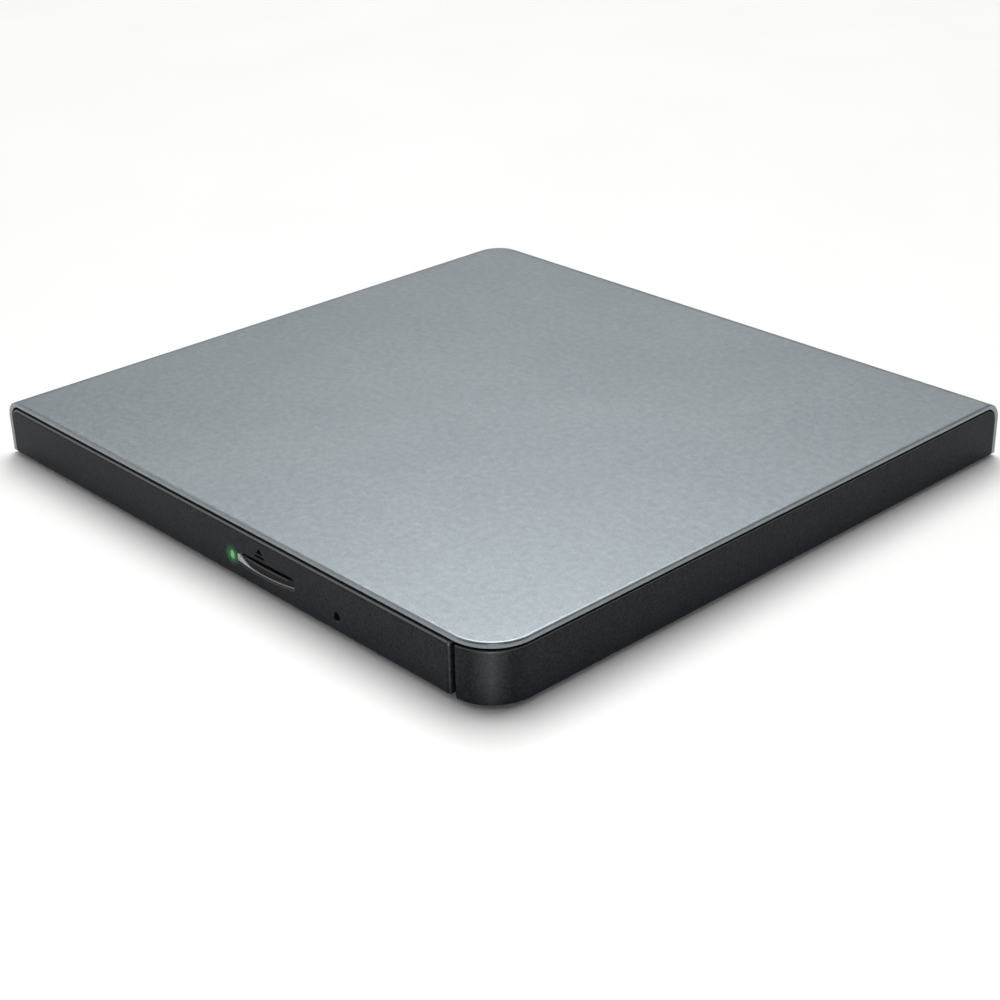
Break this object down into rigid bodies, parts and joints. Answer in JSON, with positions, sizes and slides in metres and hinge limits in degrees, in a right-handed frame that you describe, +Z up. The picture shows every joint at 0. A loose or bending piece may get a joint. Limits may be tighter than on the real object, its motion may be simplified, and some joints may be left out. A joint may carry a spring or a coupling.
{
  "type": "external optical drive",
  "caption": "Slim external tray-loading optical disc drive with a two-piece case, sliding disc tray, eject button, pickup mechanism and rear USB socket.",
  "frame": {"origin": "on the supporting surface, below the centre of the case's plan", "axes": "+X right along the front panel, +Y from the front panel to the rear, +Z up from the supporting surface"},
  "size_m": [0.144, 0.1376, 0.012],
  "materials": {
    "silver_paint": "fine metallic satin paint",
    "case_black": "fine spark-eroded texture",
    "rubber": "matt",
    "dark_steel": "dark satin",
    "steel": "rolled sheet, satin",
    "white_plastic": "moulded acetal",
    "circuit_board": "solder mask",
    "chip_black": "moulded epoxy",
    "tray_black": "fine moulded texture",
    "gloss_black": "polished",
    "pale_clear": "clear satin light guide",
    "green_lens": "lit lens",
    "amber_film": "polyimide film",
    "brass": "rolled thread",
    "lens_glass": "coated lens"
  },
  "bodies": {
    "case": {"top_cover": "silver_paint", "bottom_case": "case_black", "rubber_foot_1": "rubber", "rubber_foot_2": "rubber", "rubber_foot_3": "rubber", "rubber_foot_4": "rubber", "case_screw_1": "dark_steel", "case_screw_2": "dark_steel", "case_screw_3": "dark_steel", "case_screw_4": "dark_steel", "drive_chassis": "steel", "top_shield": "steel", "left_rail_guide": "white_plastic", "right_rail_guide": "white_plastic", "latch_post": "steel", "tray_flex": "amber_film", "main_board": "circuit_board", "flex_connector": "white_plastic", "usb_bridge_chip": "chip_black", "controller_chip": "chip_black", "motor_driver_chip": "chip_black", "usb_socket_shell": "steel", "usb_contact_tongue": "chip_black"},
    "left_rail": {"left_slide_rail": "steel"},
    "right_rail": {"right_slide_rail": "steel"},
    "tray": {"disc_tray": "tray_black", "tray_bezel": "case_black", "tray_bottom_shield": "steel", "led_light_guide": "pale_clear", "status_led": "green_lens", "front_board": "circuit_board", "eject_switch": "chip_black", "latch_solenoid": "dark_steel", "traverse_chassis": "steel", "damper_1": "rubber", "damper_2": "rubber", "damper_3": "rubber", "spindle_stator": "dark_steel", "guide_rod_1": "steel", "guide_rod_2": "steel", "sled_motor": "steel", "traverse_cover": "tray_black"},
    "button": {"eject_button": "gloss_black"},
    "latch": {"latch_hook": "steel"},
    "release": {"emergency_slider": "white_plastic"},
    "ejector": {"tray_ejector": "white_plastic"},
    "spindle": {"rotor_cup": "steel", "turntable_pad": "rubber", "centring_hub": "chip_black"},
    "claw_1": {"hub_claw_1": "white_plastic"},
    "claw_2": {"hub_claw_2": "white_plastic"},
    "claw_3": {"hub_claw_3": "white_plastic"},
    "sled": {"pickup_sled": "dark_steel", "sled_follower": "white_plastic"},
    "lens": {"lens_holder": "chip_black", "objective_lens": "lens_glass"},
    "screw": {"lead_screw": "brass"}
  },
  "joints": [
    {"name": "tray_slide", "type": "slide", "parent": "case", "child": "tray", "axis": [0, -1, 0], "range_m": [0, 0.125], "deforming": ["tray_flex"]},
    {"name": "left_rail_slide", "type": "slide", "parent": "case", "child": "left_rail", "axis": [0, -1, 0], "range_m": [0, 0.0625]},
    {"name": "right_rail_slide", "type": "slide", "parent": "case", "child": "right_rail", "axis": [0, -1, 0], "range_m": [0, 0.0625]},
    {"name": "eject_button_press", "type": "slide", "parent": "tray", "child": "button", "axis": [0, 1, 0], "range_m": [0, 0.0006], "stiffness_N_per_m": 400},
    {"name": "latch_turn", "type": "hinge", "parent": "tray", "child": "latch", "pos_m": [0.0514, -0.0595, 0.0041], "axis": [0, 0, 1], "range_deg": [-12, 0]},
    {"name": "emergency_release", "type": "slide", "parent": "tray", "child": "release", "axis": [0, 1, 0], "range_m": [0, 0.0013], "stiffness_N_per_m": 200},
    {"name": "ejector_push", "type": "slide", "parent": "tray", "child": "ejector", "axis": [0, 1, 0], "range_m": [0, 0.008]},
    {"name": "spindle_spin", "type": "hinge", "parent": "tray", "child": "spindle", "pos_m": [-0.00425, -0.0045, 0.008], "axis": [0, 0, 1], "continuous": true},
    {"name": "claw_1_squeeze", "type": "slide", "parent": "spindle", "child": "claw_1", "axis": [0.7071, 0.7071, 0], "range_m": [0, 0.0005], "stiffness_N_per_m": 300},
    {"name": "claw_2_squeeze", "type": "slide", "parent": "spindle", "child": "claw_2", "axis": [-0.9659, 0.2588, 0], "range_m": [0, 0.0005], "stiffness_N_per_m": 300},
    {"name": "claw_3_squeeze", "type": "slide", "parent": "spindle", "child": "claw_3", "axis": [0.2588, -0.9659, 0], "range_m": [0, 0.0005], "stiffness_N_per_m": 300},
    {"name": "sled_slide", "type": "slide", "parent": "tray", "child": "sled", "axis": [-0.7071, -0.7071, 0], "range_m": [0, 0.035]},
    {"name": "lens_focus", "type": "slide", "parent": "sled", "child": "lens", "axis": [0, 0, 1], "range_m": [-0.0004, 0.0004], "stiffness_N_per_m": 50},
    {"name": "lead_screw_turn", "type": "hinge", "parent": "tray", "child": "screw", "pos_m": [-0.0237, 0.00293, 0.005], "axis": [-0.7071, -0.7071, 0], "range_deg": [0, 4300]}
  ],
  "couplings": [
    {"joint": "left_rail_slide", "follows": "tray_slide", "ratio": 0.5},
    {"joint": "right_rail_slide", "follows": "tray_slide", "ratio": 0.5},
    {"joint": "ejector_push", "follows": "tray_slide", "ratio": 0.064},
    {"joint": "lead_screw_turn", "follows": "sled_slide", "rad_per_m": 2094.4}
  ]
}
